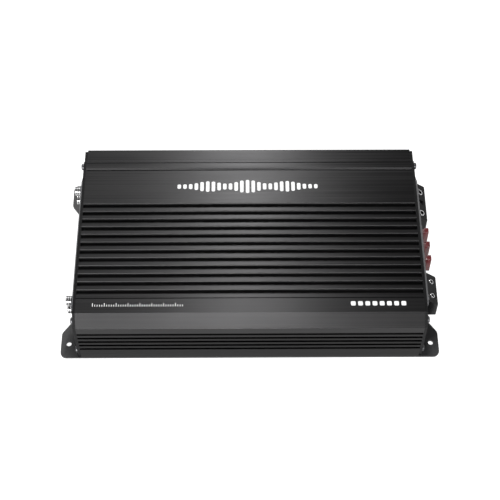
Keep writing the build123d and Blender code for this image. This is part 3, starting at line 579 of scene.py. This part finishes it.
def roundEdges(target, radius):
    weld = target.modifiers.new("weld", "WELD")
    weld.merge_threshold = 0.002 * mm
    bevel = target.modifiers.new("edges", "BEVEL")
    bevel.width = radius * mm
    bevel.segments = 2
    bevel.limit_method = "ANGLE"
    bevel.angle_limit = math.radians(sharpFrom)
    bevel.use_clamp_overlap = True
    shading = target.modifiers.new("flatFaces", "WEIGHTED_NORMAL")
    shading.keep_sharp = False


for name, target in nodes.items():
    roundEdges(target, edgeRadius.get(name, plainRadius))
print("edges rounded")

inkSetup = {"above": 0.045, "below": 0.03, "cornerSteps": 4}  # mm over and under the printed face


class Print:
    # Printed marks on one flat face: across and up are directions on it, mm from its middle point
    def __init__(self, name, middle, across, up):
        self.name = name
        self.middle = Vector(middle)
        self.across = Vector(across)
        self.up = Vector(up)
        self.out = self.across.cross(self.up)
        self.shape = bmesh.new()

    def point(self, x, y, height):
        return self.middle + (self.across * x + self.up * y + self.out * height) * mm

    def bar(self, x, y, width, height, corner, turn=0.0):
        # A block of ink with round corners, turned about its own middle
        outline = []
        steps = inkSetup["cornerSteps"]
        for quarter, (sideX, sideY) in enumerate(((1, 1), (-1, 1), (-1, -1), (1, -1))):
            for k in range(steps + 1):
                angle = math.pi / 2 * (quarter + k / steps)
                px = sideX * (width / 2 - corner) + corner * math.cos(angle)
                py = sideY * (height / 2 - corner) + corner * math.sin(angle)
                turnedX = px * math.cos(turn) - py * math.sin(turn)
                turnedY = px * math.sin(turn) + py * math.cos(turn)
                outline.append((x + turnedX, y + turnedY))
        top = [self.shape.verts.new(self.point(px, py, inkSetup["above"])) for px, py in outline]
        base = [self.shape.verts.new(self.point(px, py, -inkSetup["below"])) for px, py in outline]
        self.shape.faces.new(top)
        self.shape.faces.new(base[::-1])
        for k in range(len(top)):
            after = (k + 1) % len(top)
            self.shape.faces.new((top[k], base[k], base[after], top[after]))

    def place(self):
        mesh = bpy.data.meshes.new(self.name)
        self.shape.to_mesh(mesh)
        self.shape.free()
        piece = bpy.data.objects.new(self.name, mesh)
        scene.collection.objects.link(piece)
        mesh.materials.append(finishes["white_print"])
        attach(piece, "root")


ridgeRise = 0.6  # mm, how far the rear ridge stands over the rest of the top


def printOnTop(name, middle):
    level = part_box("heatsink_shell")[1].z - ridgeRise * mm
    return Print(name, (middle[0] * mm, middle[1] * mm, level), (1, 0, 0), (0, 1, 0))


levelBars = {
    "middle": (-1.5, 47.6),  # mm from the middle of the case
    "count": 25,
    "pitch": 5.1,
    "width": 3.2,
    "low": 4.0,
    "high": 14.5,
    "waves": 3.5,
    "depth": 0.38,  # how deep the waves cut into the row
    "blunt": 0.7,   # below 1, the row stays tall nearer to its ends
}


def printLevelBars(spec):
    # A row of sound-level bars, taller towards its middle
    ink = printOnTop("printedLevelBars", spec["middle"])
    for k in range(spec["count"]):
        share = (k + 0.5) / spec["count"]
        wave = math.cos(2 * math.pi * spec["waves"] * (share - 0.5))
        swell = math.sin(math.pi * share) ** spec["blunt"] * (1 - spec["depth"] + spec["depth"] * wave)
        height = spec["low"] + (spec["high"] - spec["low"]) * swell
        along = (k - (spec["count"] - 1) / 2) * spec["pitch"]
        ink.bar(along, 0, spec["width"], height, spec["width"] * 0.4)
    ink.place()


tuningScale = {
    "middle": (-95.0, -75.6),
    "ticks": 39,
    "longEvery": 5,
    "pitch": 2.0,
    "short": 1.9,
    "long": 3.4,
    "line": 0.55,
}


def printTuningScale(spec):
    # A fine scale like the one beside a tuning dial
    ink = printOnTop("printedScale", spec["middle"])
    for k in range(spec["ticks"]):
        height = spec["short"] if k % spec["longEvery"] else spec["long"]
        along = (k - (spec["ticks"] - 1) / 2) * spec["pitch"]
        ink.bar(along, (height - spec["long"]) / 2, spec["line"], height, spec["line"] * 0.3)
    ink.place()


levelBlocks = {
    "middle": (108.5, -75.0),
    "count": 8,
    "pitch": 6.1,
    "width": 4.0,
    "height": 4.2,
    "corner": 0.9,
}


def printLevelBlocks(spec):
    ink = printOnTop("printedBlocks", spec["middle"])
    for k in range(spec["count"]):
        along = (k - (spec["count"] - 1) / 2) * spec["pitch"]
        ink.bar(along, 0, spec["width"], spec["height"], spec["corner"])
    ink.place()


dialMarks = {
    "ticks": 11,
    "turn": 140,   # degrees from the top to either end of the ring
    "inner": 4.5,  # mm from the dial's middle
    "short": 1.1,
    "long": 1.9,
    "line": 0.4,
    "corner": 0.12,
}


def printDialMarks(spec):
    # A ring of ticks round each dial, longer at its two ends and middle
    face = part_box("input_cover_strip")[0].x
    for name in ("gain_dial", "low_pass_dial", "subsonic_dial", "bass_boost_dial"):
        low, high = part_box(name)
        middle = (face, (low.y + high.y) / 2, (low.z + high.z) / 2)
        ink = Print(name + "Marks", middle, (0, -1, 0), (0, 0, 1))
        for k in range(spec["ticks"]):
            turn = math.radians(spec["turn"] * (1 - 2 * k / (spec["ticks"] - 1)))
            length = spec["long"] if k in (0, spec["ticks"] // 2, spec["ticks"] - 1) else spec["short"]
            reach = spec["inner"] + length / 2
            x, y = -math.sin(turn) * reach, math.cos(turn) * reach
            ink.bar(x, y, spec["line"], length, spec["corner"], turn)
        ink.place()


poleMarks = {"above": 4.2, "size": 3.6, "line": 0.7, "earthBars": (1.0, 0.62, 0.24)}
poleBlocks = {
    "battery": "power_terminal_housing",
    "ground": "power_terminal_housing",
    "speaker_plus": "speaker_terminal_housing",
    "speaker_minus": "speaker_terminal_housing",
}


def printPoleMarks(spec):
    # Plus, minus and earth signs over the terminals
    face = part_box("terminal_cover_strip")[1].x
    for pole, block in poleBlocks.items():
        low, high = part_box(pole + "_screw")
        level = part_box(block)[1].z + spec["above"] * mm
        ink = Print(pole + "Mark", (face, (low.y + high.y) / 2, level), (0, 1, 0), (0, 0, 1))
        size, line = spec["size"], spec["line"]
        corner = line * 0.3
        if pole == "ground":
            ink.bar(0, size * 0.4, line, size * 0.5, corner)
            for k, share in enumerate(spec["earthBars"]):
                ink.bar(0, size * (0.15 - 0.28 * k), size * share, line * 0.8, corner)
        else:
            ink.bar(0, 0, size, line, corner)
            if pole != "speaker_minus":
                ink.bar(0, 0, line, size, corner)
        ink.place()


printLevelBars(levelBars)
printTuningScale(tuningScale)
printLevelBlocks(levelBlocks)
printDialMarks(dialMarks)
printPoleMarks(poleMarks)
print("marks printed")
